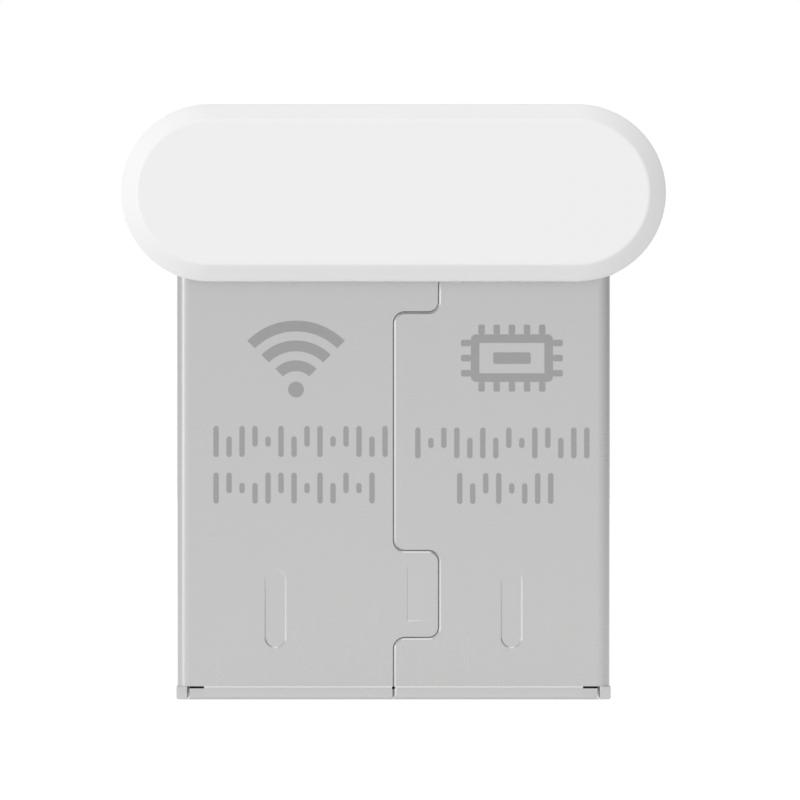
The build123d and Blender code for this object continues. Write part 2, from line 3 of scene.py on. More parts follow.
import bmesh
import bpy
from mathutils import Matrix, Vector


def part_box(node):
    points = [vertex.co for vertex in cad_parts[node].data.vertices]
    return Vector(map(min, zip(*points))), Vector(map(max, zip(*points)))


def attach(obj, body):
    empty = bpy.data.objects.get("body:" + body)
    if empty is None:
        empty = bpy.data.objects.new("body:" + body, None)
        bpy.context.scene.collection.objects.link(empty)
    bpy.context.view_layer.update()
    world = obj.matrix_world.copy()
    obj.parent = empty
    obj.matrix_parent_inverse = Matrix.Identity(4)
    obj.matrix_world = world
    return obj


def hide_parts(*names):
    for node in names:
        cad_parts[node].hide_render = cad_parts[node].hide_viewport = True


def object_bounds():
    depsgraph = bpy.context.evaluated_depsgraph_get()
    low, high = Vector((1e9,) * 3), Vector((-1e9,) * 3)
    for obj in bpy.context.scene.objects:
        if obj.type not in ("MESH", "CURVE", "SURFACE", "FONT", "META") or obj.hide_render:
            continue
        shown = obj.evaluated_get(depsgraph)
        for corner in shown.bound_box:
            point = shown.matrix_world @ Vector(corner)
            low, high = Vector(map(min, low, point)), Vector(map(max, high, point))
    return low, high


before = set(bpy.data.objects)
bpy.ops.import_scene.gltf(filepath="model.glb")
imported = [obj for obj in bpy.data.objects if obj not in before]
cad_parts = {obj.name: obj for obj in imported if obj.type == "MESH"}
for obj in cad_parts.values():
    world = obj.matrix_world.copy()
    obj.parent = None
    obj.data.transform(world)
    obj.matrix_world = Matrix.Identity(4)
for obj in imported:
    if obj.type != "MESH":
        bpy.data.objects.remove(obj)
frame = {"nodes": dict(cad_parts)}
nodes = frame["nodes"]
cad_low, cad_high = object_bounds()


# ---- Plug shell ------------------------------------------------------------------------------
# One strip of nickel-plated steel, folded into a tube whose two edges interlock down the middle
# of the seamed side. Its mouth is trimmed into four lips, slit free of each other at the corners,
# and two oblong dimples are pressed into each broad side.

MM = 0.001
shell_low, shell_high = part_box("plug_shell")
MOUTH_Z = shell_low.z
SHELL_TOP_Z = shell_high.z
PLUG_SIDE = 6.00 * MM
PLUG_FACE = 2.25 * MM
SHEET = 0.30 * MM
BEND_RADIUS = 0.36 * MM
BORE_SIDE = PLUG_SIDE - SHEET
BORE_FACE = PLUG_FACE - SHEET
LIP_PROUD = 0.02 * MM
LIP_SHOULDER = 0.97 * LIP_PROUD
LIP_SHOULDER_FALL = 0.014 * MM
LIP_TOP_Z = MOUTH_Z + 0.36 * MM
LIP_ROUND = 0.17 * MM
LIP_LEAD_IN = 0.08 * MM
SIDE_LIP_ROUND = 0.048 * MM
SIDE_LIP_EDGE = 0.4 * LIP_PROUD
REAR_LIP_SIDE = 5.86 * MM
CORNER_GAP = 0.05 * MM
SLOT_LENGTH = 0.45 * MM
SLOT_HEIGHT = 0.06 * MM
LIP_END_INSET = 0.035 * MM
# Depth into the wall and half width of the seam's gap, in millimetres.
SEAM_PROFILE = (
    (-0.120, 0.172),
    (0.000, 0.042),
    (0.031, 0.006),
    (0.180, 0.006),
)
SEAM_DRIFT = 0.48
TAB_REACH = 1.25 * MM
TAB_ROUND = 0.30 * MM
TAB_ENDS_Z = (MOUTH_Z + 1.71 * MM, MOUTH_Z + 4.12 * MM, -0.83 * MM)
SEAM_HOLE_RADIUS = 0.045 * MM
SEAM_NOTCH = 0.05 * MM
DIMPLE_X = 3.27 * MM
DIMPLE_Z = MOUTH_Z + 2.51 * MM
DIMPLE_SIZE = (0.62 * MM, 2.21 * MM)
DIMPLE_DEPTH = 0.030 * MM
DIMPLE_SLOPE = 0.048 * MM
TOOL_MARGIN = 0.003 * MM
STAKE_CORNER = (0.325 * MM, MOUTH_Z + 2.11 * MM)
STAKE_SIZE = (0.64 * MM, 1.56 * MM)
STAKE_DEPTH = 0.024 * MM
STAKE_NOSE = 0.050 * MM
STAKE_SLOPE = 0.075 * MM
STAKE_LEAN = (math.radians(0.3), 0, math.radians(-2.1))
FLANGE_SIDE = 3.50 * MM
SHELL_CREASE = 20
WELD = 0.0001 * MM
ROUND_END_WELD = 0.002 * MM
ALMOST_HALF = 0.4999


def block(name, low, high):
    """A cube primitive between two corners, with its place in its mesh."""
    bpy.ops.object.select_all(action="DESELECT")
    low, high = Vector(low), Vector(high)
    bpy.ops.mesh.primitive_cube_add(size=1, location=(low + high) / 2, scale=high - low)
    piece = bpy.context.object
    piece.name = name
    bpy.ops.object.transform_apply()
    return piece


def bar(name, radius, ends, x, z, vertices=48):
    """A cylinder primitive along Y between two ends."""
    bpy.ops.object.select_all(action="DESELECT")
    middle = (x, sum(ends) / 2, z)
    turn = (math.radians(90), 0, 0)
    length = abs(ends[1] - ends[0])
    bpy.ops.mesh.primitive_cylinder_add(
        vertices=vertices, radius=radius, depth=length, location=middle, rotation=turn
    )
    piece = bpy.context.object
    piece.name = name
    bpy.ops.object.transform_apply()
    return piece


def choose(piece, kind, test):
    """Opens a piece in edit mode, with only the parts of one kind that pass the test selected."""
    bpy.ops.object.select_all(action="DESELECT")
    piece.select_set(True)
    bpy.context.view_layer.objects.active = piece
    bpy.ops.object.mode_set(mode="EDIT")
    bpy.ops.mesh.select_mode(type={"verts": "VERT", "edges": "EDGE", "faces": "FACE"}[kind])
    bpy.ops.mesh.select_all(action="DESELECT")
    mesh = bmesh.from_edit_mesh(piece.data)
    for part in getattr(mesh, kind):
        part.select_set(bool(test(part)))
    mesh.select_flush_mode()
    bmesh.update_edit_mesh(piece.data)


def close():
    """Leaves edit mode."""
    bpy.ops.object.mode_set(mode="OBJECT")


def near(value, target):
    """True if a coordinate is at a place, to a tenth of a micrometre."""
    return abs(value - target) < WELD


def runs_along(edge, axis):
    """True if an edge lies along X, Y or Z, given as 0, 1 or 2."""
    line = edge.verts[1].co - edge.verts[0].co
    return abs(line[axis]) > 0.999 * line.length


def lies_at(edge, axis, place):
    """True if both ends of an edge are at a place along an axis."""
    return all(near(v.co[axis], place) for v in edge.verts)


def is_corner(edge, degrees=40):
    """True if an edge's two faces meet at more than an angle."""
    return len(edge.link_faces) == 2 and edge.calc_face_angle() > math.radians(degrees)


def round_off(piece, test, width, segments=4):
    """Bevels the edges that pass the test."""
    choose(piece, "edges", test)
    bpy.ops.mesh.bevel(offset=width, segments=segments, profile=0.5, clamp_overlap=False)
    close()


def apply(piece, kind, **settings):
    """Gives a piece one modifier and applies it."""
    modifier = piece.modifiers.new(kind.title(), kind)
    for name, value in settings.items():
        setattr(modifier, name, value)
    bpy.ops.object.select_all(action="DESELECT")
    piece.select_set(True)
    bpy.context.view_layer.objects.active = piece
    bpy.ops.object.modifier_apply(modifier=modifier.name)


def combine(piece, others, operation):
    """Cuts other pieces out of a piece, or welds them on, and removes them."""
    for other in others:
        apply(piece, "BOOLEAN", operation=operation, object=other, solver="EXACT")
        bpy.data.objects.remove(other)


def cut(piece, *others):
    """Takes the others away from a piece."""
    combine(piece, others, "DIFFERENCE")


def weld(piece, *others):
    """Joins the others to a piece as one solid."""
    combine(piece, others, "UNION")


def finish_surface(piece, degrees=35):
    """Cleans a finished mesh: merged, closed, facing outwards, smooth but for its real corners."""
    choose(piece, "verts", lambda vertex: True)
    bpy.ops.mesh.remove_doubles(threshold=WELD)
    bpy.ops.mesh.dissolve_degenerate(threshold=WELD)
    close()
    choose(piece, "edges", lambda edge: edge.is_boundary)
    bpy.ops.mesh.fill_holes(sides=4)
    bpy.ops.mesh.select_all(action="SELECT")
    bpy.ops.mesh.normals_make_consistent(inside=False)
    close()
    bpy.ops.object.shade_smooth_by_angle(angle=math.radians(degrees))
    apply(piece, "WEIGHTED_NORMAL", keep_sharp=True, weight=100)


def stand_for(piece, node):
    """The piece rides on the object and takes a CAD node's place."""
    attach(piece, "root")
    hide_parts(node)


def broad_lip(side, half):
    """The lip of one broad wall, its foot rounded outside and led in inside."""
    outer = side * (PLUG_FACE + LIP_PROUD)
    inner = side * BORE_FACE
    low_y, high_y = sorted((outer, inner))
    lip = block("lip", (-half, low_y, MOUTH_Z), (half, high_y, LIP_TOP_Z))
    round_off(lip, lambda e: lies_at(e, 1, outer) and lies_at(e, 2, MOUTH_Z), LIP_ROUND, 8)
    round_off(lip, lambda e: lies_at(e, 1, inner) and lies_at(e, 2, MOUTH_Z), LIP_LEAD_IN, 5)
    round_off(lip, lambda e: lies_at(e, 1, outer) and lies_at(e, 2, LIP_TOP_Z), LIP_SHOULDER, 1)
    shoulder_z = LIP_TOP_Z - LIP_SHOULDER
    choose(lip, "edges", lambda e: lies_at(e, 1, outer) and lies_at(e, 2, shoulder_z))
    bpy.ops.transform.translate(value=(0, 0, -LIP_SHOULDER_FALL))
    close()
    return lip


def seamed_lip():
    """The seamed side's lip: slit from its wall at both ends, and skimmed flat below the slits."""
    lip = broad_lip(-1, BORE_SIDE - CORNER_GAP)
    skim_y = LIP_END_INSET - PLUG_FACE - LIP_PROUD
    slot_low = LIP_TOP_Z - SLOT_HEIGHT
    for end in (-1, 1):
        low_x, high_x = sorted((end * (BORE_SIDE - SLOT_LENGTH), end * PLUG_SIDE))
        cut(lip, block("slot", (low_x, -2 * PLUG_FACE, slot_low), (high_x, 0, SHELL_TOP_Z)))
        cut(lip, block("skim", (low_x, -2 * PLUG_FACE, MOUTH_Z - SHEET), (high_x, skim_y, 0)))
    return lip


def side_lip(side):
    """The lip of one narrow wall, wrapped round both corners and square at its ends."""
    xs = sorted((side * BORE_SIDE, side * (PLUG_SIDE + LIP_PROUD)))
    front = -PLUG_FACE - LIP_PROUD / 2
    lip = block("lip", (xs[0], front, MOUTH_Z), (xs[1], PLUG_FACE - SHEET, LIP_TOP_Z))
    round_off(lip, lambda e: not lies_at(e, 2, LIP_TOP_Z), SIDE_LIP_ROUND, 4)
    round_off(lip, lambda e: lies_at(e, 2, LIP_TOP_Z), SIDE_LIP_EDGE, 2)
    return lip


def seam_cutter():
    """A ribbon down the seam's path: a slit that flares, mostly over its right and lower edges."""
    low, high, top = TAB_ENDS_Z
    path = [(0, MOUTH_Z - SHEET), (0, low), (TAB_REACH, low), (TAB_REACH, high)]
    path += [(0, high), (0, top), (TAB_REACH, top), (TAB_REACH, SHELL_TOP_Z + SHEET)]
    rows = [(depth * MM - PLUG_FACE, half * MM) for depth, half in SEAM_PROFILE]
    start_y = rows[0][0]
    bpy.ops.object.select_all(action="DESELECT")
    bpy.ops.mesh.primitive_plane_add(size=MM, location=(path[0][0], start_y, path[0][1]))
    ribbon = bpy.context.object
    bpy.ops.object.transform_apply()
    choose(ribbon, "verts", lambda vertex: True)
    bpy.ops.mesh.merge(type="CENTER")
    for start, end in zip(path, path[1:]):
        step = (end[0] - start[0], 0, end[1] - start[1])
        bpy.ops.mesh.extrude_region_move(TRANSFORM_OT_translate={"value": step})
    close()
    choose(ribbon, "verts", lambda vertex: len(vertex.link_edges) == 2)
    bpy.ops.mesh.bevel(offset=TAB_ROUND, segments=12, affect="VERTICES", clamp_overlap=False)
    bpy.ops.mesh.select_all(action="SELECT")
    for (last_y, _), (next_y, _) in zip(rows, rows[1:]):
        step = (0, next_y - last_y, 0)
        bpy.ops.mesh.extrude_region_move(TRANSFORM_OT_translate={"value": step})
    bpy.ops.mesh.select_all(action="SELECT")
    bpy.ops.mesh.normals_make_consistent(inside=False)
    close()
    widest = max(half for _, half in rows)
    width = ribbon.vertex_groups.new(name="width")
    for row_y, half in rows:
        row = [v.index for v in ribbon.data.vertices if near(v.co.y, row_y)]
        width.add(row, half / widest, "REPLACE")
    settings = {"thickness": 2 * widest, "offset": 0, "use_even_offset": True}
    apply(ribbon, "SOLIDIFY", vertex_group="width", **settings)
    for row_y, half in rows:
        choose(ribbon, "verts", lambda vertex: near(vertex.co.y, row_y))
        bpy.ops.transform.translate(value=(SEAM_DRIFT * half, 0, -SEAM_DRIFT * half))
        close()
    return ribbon


def dimple_cutter(side, x):
    """An oblong tool with a sloped nose, pressed into one broad wall."""
    width, length = DIMPLE_SIZE
    start = side * (PLUG_FACE + TOOL_MARGIN)
    ys = sorted((start, start + side * SHEET))
    corner_low = (x - width / 2, ys[0], DIMPLE_Z - length / 2)
    corner_high = (x + width / 2, ys[1], DIMPLE_Z + length / 2)
    tool = block("dimple_tool", corner_low, corner_high)
    round_off(tool, lambda e: runs_along(e, 1), ALMOST_HALF * width, 14)
    choose(tool, "verts", lambda vertex: True)
    bpy.ops.mesh.remove_doubles(threshold=ROUND_END_WELD)
    close()
    choose(tool, "faces", lambda face: all(near(v.co.y, start) for v in face.verts))
    bpy.ops.mesh.inset(thickness=DIMPLE_SLOPE, depth=DIMPLE_DEPTH + TOOL_MARGIN)
    close()
    return tool


def stake_cutter():
    """A thin oblong tool with two sloped sides, leant so that only its lower left corner bites."""
    tool = block("stake_tool", (0, -STAKE_NOSE, 0), (STAKE_SIZE[0], 0, STAKE_SIZE[1]))
    for axis in (0, 2):
        choose(tool, "edges", lambda e: lies_at(e, 1, 0) and lies_at(e, axis, 0))
        step = (STAKE_SLOPE, 0, 0) if axis == 0 else (0, 0, STAKE_SLOPE)
        bpy.ops.transform.translate(value=step)
        close()
    tool.rotation_euler = STAKE_LEAN
    tool.location = (STAKE_CORNER[0], STAKE_DEPTH - PLUG_FACE, STAKE_CORNER[1])
    bpy.ops.object.transform_apply()
    return tool


class Amount:
    """A number that varies over a surface: a node's socket that takes part in sums."""

    def __init__(self, nodes, socket):
        self.nodes, self.socket = nodes, socket

    def with_others(self, operation, *terms):
        settings = {"operation": operation}
        made = self.nodes.node("ShaderNodeMath", settings, dict(enumerate(terms)))
        return Amount(self.nodes, made.outputs[0])

    def __add__(self, other):
        return self.with_others("ADD", self, other)

    def __sub__(self, other):
        return self.with_others("SUBTRACT", self, other)

    def __rsub__(self, other):
        return self.with_others("SUBTRACT", other, self)

    def __mul__(self, other):
        return self.with_others("MULTIPLY", self, other)

    def __lt__(self, other):
        return self.with_others("LESS_THAN", self, other)

    __radd__, __rmul__ = __add__, __mul__

    def size(self):
        return self.with_others("ABSOLUTE", self)

    def wrapped(self, period):
        """The distance to the nearest multiple of a period."""
        return self.with_others("PINGPONG", self, period / 2)

    def ramp(self, low, high):
        """0 below one value, 1 above another, and even between them."""
        limits = {"Value": self, "From Min": low, "From Max": high}
        made = self.nodes.node("ShaderNodeMapRange", {"clamp": True}, limits)
        return Amount(self.nodes, made.outputs[0])


class Nodes:
    """A node tree to which nodes are added one at a time."""

    def __init__(self, tree):
        self.tree = tree

    def feed(self, socket, value):
        """Sets a socket to a value, or links it to an amount or to another socket."""
        value = value.socket if isinstance(value, Amount) else value
        if isinstance(value, bpy.types.NodeSocket):
            self.tree.links.new(value, socket)
        else:
            socket.default_value = value

    def node(self, kind, settings=None, inputs=None):
        """A node of one type: its settings first, then what its sockets hold or are linked to."""
        made = self.tree.nodes.new(kind)
        for name, value in (settings or {}).items():
            setattr(made, name, value)
        for name, value in (inputs or {}).items():
            self.feed(made.inputs[name], value)
        return made


class Finish(Nodes):
    """A material with one Principled shader. Its places are in millimetres on the object."""

    def __init__(self, name, **constants):
        self.material = bpy.data.materials.new(name)
        self.material.use_nodes = True
        super().__init__(self.material.node_tree)
        self.shader = self.tree.nodes["Principled BSDF"]
        for socket, value in constants.items():
            self.feed(self.shader.inputs[socket.replace("_", " ")], value)
        place = self.node("ShaderNodeTexCoord").outputs["Object"]
        scale = {"Vector": place, "Scale": 1 / MM}
        self.place = self.node("ShaderNodeVectorMath", {"operation": "SCALE"}, scale).outputs[0]
        apart = self.node("ShaderNodeSeparateXYZ", inputs={"Vector": self.place})
        self.x, self.y, self.z = (Amount(self, socket) for socket in apart.outputs)

    def noise(self, per_mm, stretch=(1, 1, 1), detail=2.0):
        """Soft noise from 0 to 1, with so many grains to a millimetre along each stretched axis."""
        scaled = {"Vector": self.place, "Scale": stretch}
        vector = self.node("ShaderNodeMapping", inputs=scaled).outputs[0]
        sockets = {"Vector": vector, "Scale": per_mm, "Detail": detail}
        return Amount(self, self.node("ShaderNodeTexNoise", inputs=sockets).outputs[0])

    def blend(self, share, first, second):
        """One colour where the share is 0 and another where it is 1."""
        first, second = ((*c, 1) if isinstance(c, tuple) else c for c in (first, second))
        sockets = {0: share, 6: first, 7: second}
        return self.node("ShaderNodeMix", {"data_type": "RGBA"}, sockets).outputs[2]

    def vary(self, **sockets):
        """Feeds the shader's sockets with what changes over the surface."""
        for socket, value in sockets.items():
            self.feed(self.shader.inputs[socket.replace("_", " ")], value)

    def relief(self, height, rounded=0):
        """Gives the surface a relief, its height in millimetres, over edges rounded by a radius."""
        sockets = {"Height": height, "Distance": MM, "Strength": 1.0}
        if rounded:
            edge = self.node("ShaderNodeBevel", {"samples": 6}, {"Radius": rounded * MM})
            sockets["Normal"] = edge.outputs[0]
        self.vary(Normal=self.node("ShaderNodeBump", inputs=sockets).outputs[0])

    def grained(self, grain, colours, roughness, height=0, rounded=0):
        """One grain runs between two colours and two roughnesses, and raises the surface."""
        smooth, rough = roughness
        self.vary(Base_Color=self.blend(grain, *colours))
        self.vary(Roughness=smooth + (rough - smooth) * grain)
        if height:
            self.relief(height * grain, rounded)

    def coat(self, *pieces):
        """Gives the finish to pieces, in place of what they had."""
        for piece in pieces:
            piece.data.materials.clear()
            piece.data.materials.append(self.material)


shell = block(
    "plug_shell_folded", (-PLUG_SIDE, -PLUG_FACE, LIP_TOP_Z), (PLUG_SIDE, PLUG_FACE, SHELL_TOP_Z)
)
choose(shell, "faces", lambda face: abs(face.normal.z) > 0.9)
bpy.ops.mesh.delete(type="FACE")
close()
round_off(shell, lambda e: runs_along(e, 2), BEND_RADIUS, 12)
apply(shell, "SOLIDIFY", thickness=SHEET, offset=-1, use_even_offset=True)
weld(shell, seamed_lip(), broad_lip(1, REAR_LIP_SIDE), side_lip(-1), side_lip(1))
for side in (-1, 1):
    low_y, high_y = sorted((side * (PLUG_FACE - SHEET / 2), side * shell_high.y))
    flange_corner = (-FLANGE_SIDE, low_y, SHELL_TOP_Z - SHEET)
    weld(shell, block("flange", flange_corner, (FLANGE_SIDE, high_y, SHELL_TOP_Z)))
cut(shell, seam_cutter())
through_wall = (-2 * PLUG_FACE, -BORE_FACE + SHEET / 2)
cut(shell, bar("hole", SEAM_HOLE_RADIUS, through_wall, 0, LIP_TOP_Z - SEAM_HOLE_RADIUS))
cut(shell, bar("notch", SEAM_NOTCH, through_wall, 0, MOUTH_Z, vertices=4))
for side in (-1, 1):
    for end in (-1, 1):
        cut(shell, dimple_cutter(side, end * DIMPLE_X))
cut(shell, stake_cutter())
finish_surface(shell, SHELL_CREASE)
stand_for(shell, "plug_shell")

NICKEL = (0.438, 0.438, 0.436)
NICKEL_RUBBED = (0.475, 0.475, 0.472)
RUB_HEIGHTS = (0.05, 0.25, 6)
RUB_STRENGTH = 0.25
nickel = Finish("satin_nickel_plate", Metallic=1.0)
rolled = nickel.noise(2.0, stretch=(0.25, 0.25, 9), detail=4)
mottle = nickel.noise(0.6)
rubs = nickel.noise(3.0, stretch=(5, 5, 0.35), detail=3).ramp(0.58, 0.72)
rub_ends = [MOUTH_Z / MM + height for height in RUB_HEIGHTS]
near_mouth = nickel.z.ramp(*rub_ends[:2]) - nickel.z.ramp(*rub_ends[1:])
rubbed = rubs * near_mouth * RUB_STRENGTH
nickel.vary(Base_Color=nickel.blend(rubbed, NICKEL, NICKEL_RUBBED))
nickel.vary(Roughness=0.25 + 0.03 * mottle + 0.04 * rolled - 0.05 * rubbed)
nickel.relief(0.0009 * rolled + 0.0005 * rubbed)
nickel.coat(shell)


# ---- Laser marks -----------------------------------------------------------------------------
# Grey oxide marks that a laser burns into the plating above the dimples: a wireless pictogram on
# the left of the seam, a chip pictogram on the right, and two rows of plain bar code under each.

MARK_PROUD = 0.004 * MM
MARK_STROKE = 0.30 * MM
MARK_FACE = (-PLUG_FACE - MARK_PROUD, -PLUG_FACE + MARK_PROUD)
ARCS_CENTRE = (-2.70 * MM, -2.98 * MM)
ARC_RADII = (0.66 * MM, 1.21 * MM, 1.76 * MM)
ARC_HALF_ANGLE = math.radians(45)
DOT_RADIUS = 0.22 * MM
CHIP_CENTRE = (3.28 * MM, -2.11 * MM)
CHIP_HALF = (1.14 * MM, 0.66 * MM)
CHIP_WALL = 0.8 * MARK_STROKE
CHIP_CORE_HALF = (0.52 * MM, 0.16 * MM)
CHIP_CORE_ROUND = MARK_STROKE / 6
CHIP_LEG_LENGTH = 0.27 * MM
CHIP_LEG_WIDTH = 0.18 * MM
CHIP_LEG_ROUND = CHIP_LEG_WIDTH / 4
CHIP_LEG_PITCH = 0.42 * MM
CODE_HEIGHT = 0.86 * MM
CODE_TALL_HALF = CODE_HEIGHT / 2
CODE_SHORT_HALF = CODE_HEIGHT / 6
CODE_STROKE = 0.15 * MM
CODE_ROUND = 0.49 * CODE_STROKE
CODE_PITCH = 0.36 * MM
CODE_ROWS = (
    (-4.99 * MM, -4.42 * MM, (3, 1, 3, 2, 0, 3, 1, 2, 3, 0, 2, 3, 1, 3)),
    (-4.99 * MM, -5.71 * MM, (3, 2, 0, 1, 3, 2, 3, 0, 3, 1, 2, 0, 3)),
    (0.60 * MM, -4.46 * MM, (3, 0, 2, 3, 1, 3, 1, 2, 0, 3, 2, 1, 3, 3)),
    (1.76 * MM, -5.72 * MM, (3, 1, 2, 3, 0, 1, 3, 3)),
)


def flat_mark(x_low, x_high, z_low, z_high, rounding):
    """A flat rounded bar on the seamed side."""
    mark = block("mark", (x_low, MARK_FACE[0], z_low), (x_high, MARK_FACE[1], z_high))
    round_off(mark, lambda e: runs_along(e, 1), rounding, 5)
    return mark


def wireless_arc(radius):
    """A ring about the pictogram's dot, cut down to its upper quarter."""
    x, z = ARCS_CENTRE
    ring = bar("arc", radius + MARK_STROKE / 2, MARK_FACE, x, z, vertices=128)
    cut(ring, bar("bore", radius - MARK_STROKE / 2, (MARK_FACE[0] * 2, 0), x, z, vertices=128))
    for turn in (-1, 1):
        choose(ring, "verts", lambda vertex: True)
        normal = (turn * math.cos(ARC_HALF_ANGLE), 0, -math.sin(ARC_HALF_ANGLE))
        bpy.ops.mesh.bisect(
            plane_co=(x, 0, z), plane_no=normal, use_fill=True, clear_outer=True, threshold=WELD
        )
        close()
    return ring


def chip_pictogram():
    """An oblong outline with a core, three legs at each end and five along each side."""
    x, z = CHIP_CENTRE
    wide, high = CHIP_HALF
    outline = flat_mark(x - wide, x + wide, z - high, z + high, MARK_STROKE / 2)
    hollow_low = (x - wide + CHIP_WALL, 2 * MARK_FACE[0], z - high + CHIP_WALL)
    hollow_high = (x + wide - CHIP_WALL, 0, z + high - CHIP_WALL)
    cut(outline, block("hollow", hollow_low, hollow_high))
    core_wide, core_high = CHIP_CORE_HALF
    core = flat_mark(x - core_wide, x + core_wide, z - core_high, z + core_high, CHIP_CORE_ROUND)
    marks = [outline, core]
    for side in (-1, 1):
        for step in (-1, 0, 1):
            ends = sorted((x + side * wide, x + side * (wide + CHIP_LEG_LENGTH)))
            low = z + step * CHIP_LEG_PITCH - CHIP_LEG_WIDTH / 2
            marks.append(flat_mark(*ends, low, low + CHIP_LEG_WIDTH, CHIP_LEG_ROUND))
        for step in (-2, -1, 0, 1, 2):
            ends = sorted((z + side * high, z + side * (high + CHIP_LEG_LENGTH)))
            low = x + step * CHIP_LEG_PITCH - CHIP_LEG_WIDTH / 2
            marks.append(flat_mark(low, low + CHIP_LEG_WIDTH, *ends, CHIP_LEG_ROUND))
    return marks


def code_row(x, z, kinds):
    """A row of bars: 0 a short middle bar, 1 and 2 reaching down or up, 3 the full height."""
    marks = []
    for n, kind in enumerate(kinds):
        low = z - (CODE_TALL_HALF if kind in (1, 3) else CODE_SHORT_HALF)
        high = z + (CODE_TALL_HALF if kind in (2, 3) else CODE_SHORT_HALF)
        left = x + n * CODE_PITCH
        marks.append(flat_mark(left, left + CODE_STROKE, low, high, CODE_ROUND))
    return marks


def join(name, pieces):
    """Makes several pieces one object."""
    bpy.ops.object.select_all(action="DESELECT")
    for piece in pieces:
        piece.select_set(True)
    bpy.context.view_layer.objects.active = pieces[0]
    bpy.ops.object.join()
    pieces[0].name = name
    return pieces[0]


marks = [bar("dot", DOT_RADIUS, MARK_FACE, *ARCS_CENTRE)]
marks += [wireless_arc(radius) for radius in ARC_RADII]
marks += chip_pictogram()
for row in CODE_ROWS:
    marks += code_row(*row)
laser_marks = join("laser_marks", marks)
finish_surface(laser_marks)
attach(laser_marks, "root")

OXIDE = (0.30, 0.30, 0.30)
OXIDE_LIGHT = (0.345, 0.345, 0.345)
oxide = Finish("laser_oxide", Metallic=0.25)
hatch = oxide.noise(9.0, stretch=(0.3, 1, 3), detail=2)
oxide.vary(Base_Color=oxide.blend(hatch, OXIDE, OXIDE_LIGHT), Roughness=0.5 + 0.15 * hatch)
oxide.coat(laser_marks)


# ---- Cap covers ------------------------------------------------------------------------------
# Two half shells moulded in white plastic, pill-shaped with a broad bevel. The rear one's lip and
# pegs enter the front one's groove and holes, and both hold the shell's flange between two ribs.

cap_low, cap_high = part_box("front_cover")
CAP_SIDE = cap_high.x
CAP_FACE = -cap_low.y
CAP_TOP_Z = cap_high.z
CAP_BEVEL = 0.46 * MM
CAP_EDGE = 0.05 * MM
PARTING_EDGE = 0.04 * MM
CAP_WALL = 0.70 * MM
CAVITY_SIDE = PLUG_SIDE + 0.15 * MM
CAVITY_FACE = CAP_FACE - CAP_WALL
JOINT_WALL = 0.25 * MM
JOINT_GAP = 0.03 * MM
JOINT_DEPTH = 0.40 * MM
JOINT_ROOT = 0.20 * MM
PASSAGE_GAP = 0.03 * MM
RIB_SIDE = 4.00 * MM
RIB_HEIGHT = 0.40 * MM
RIB_LOW_Z = SHELL_TOP_Z + PASSAGE_GAP
board_low, board_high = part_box("main_board")
POST_GAP = 0.02 * MM
POST_RADIUS = 0.32 * MM
POST_X = 5.58 * MM
POST_Z = 2.975 * MM
PEG_X = (CAVITY_SIDE + CAP_SIDE) / 2
PEG_RADIUS = 0.30 * MM
PEG_LENGTH = 1.60 * MM


def pill(inset, ys, half_length=None):
    """The cap's outline moved inwards, between two places along Y, its ends trimmed if asked."""
    low = (-CAP_SIDE + inset, ys[0], inset)
    high = (CAP_SIDE - inset, ys[1], CAP_TOP_Z - inset)
    made = block("pill", low, high)
    round_off(made, lambda e: runs_along(e, 1), ALMOST_HALF * (CAP_TOP_Z - 2 * inset), 40)
    choose(made, "verts", lambda vertex: True)
    bpy.ops.mesh.remove_doubles(threshold=ROUND_END_WELD)
    close()
    if half_length:
        for turn in (-1, 1):
            choose(made, "verts", lambda vertex: True)
            plane = {"plane_co": (turn * half_length, 0, 0), "plane_no": (turn, 0, 0)}
            bpy.ops.mesh.bisect(use_fill=True, clear_outer=True, threshold=WELD, **plane)
            close()
    return made


def cover(name, side):
    """Half of the cap, bevelled outside and hollow inside, with ribs and the shell's passage."""
    face = side * CAP_FACE
    made = pill(0, sorted((0, face)))
    made.name = name
    round_off(made, lambda e: lies_at(e, 1, face), CAP_BEVEL, 1)
    round_off(made, lambda e: lies_at(e, 1, face) and is_corner(e, 20), CAP_EDGE, 4)
    rim = face - side * CAP_BEVEL
    round_off(made, lambda e: lies_at(e, 1, rim) and is_corner(e, 20), CAP_EDGE, 4)
    round_off(made, lambda e: lies_at(e, 1, 0) and is_corner(e), PARTING_EDGE, 3)
    inner = side * CAVITY_FACE
    cut(made, pill(CAP_WALL, sorted((-side * JOINT_DEPTH, inner)), CAVITY_SIDE))
    rib_ys = sorted((side * PLUG_FACE, inner + side * POST_GAP))
    step_top = SHELL_TOP_Z - SHEET - PASSAGE_GAP
    root_z = CAP_WALL - POST_GAP
    weld(made, block("step", (-RIB_SIDE, rib_ys[0], root_z), (RIB_SIDE, rib_ys[1], step_top)))
    rib_high = (RIB_SIDE, rib_ys[1], RIB_LOW_Z + RIB_HEIGHT)
    weld(made, block("rib", (-RIB_SIDE, rib_ys[0], RIB_LOW_Z), rib_high))
    reach = (PLUG_SIDE + PASSAGE_GAP, PLUG_FACE + PASSAGE_GAP)
    passage = block("passage", (-reach[0], -reach[1], MOUTH_Z), (*reach, RIB_LOW_Z))
    round_off(passage, lambda e: runs_along(e, 2), BEND_RADIUS + PASSAGE_GAP, 12)
    cut(made, passage)
    return made


def posts(face, ends):
    """The pair of round posts that hold the board's wings."""
    return [bar("post", POST_RADIUS, sorted((face, ends)), x, POST_Z) for x in (-POST_X, POST_X)]


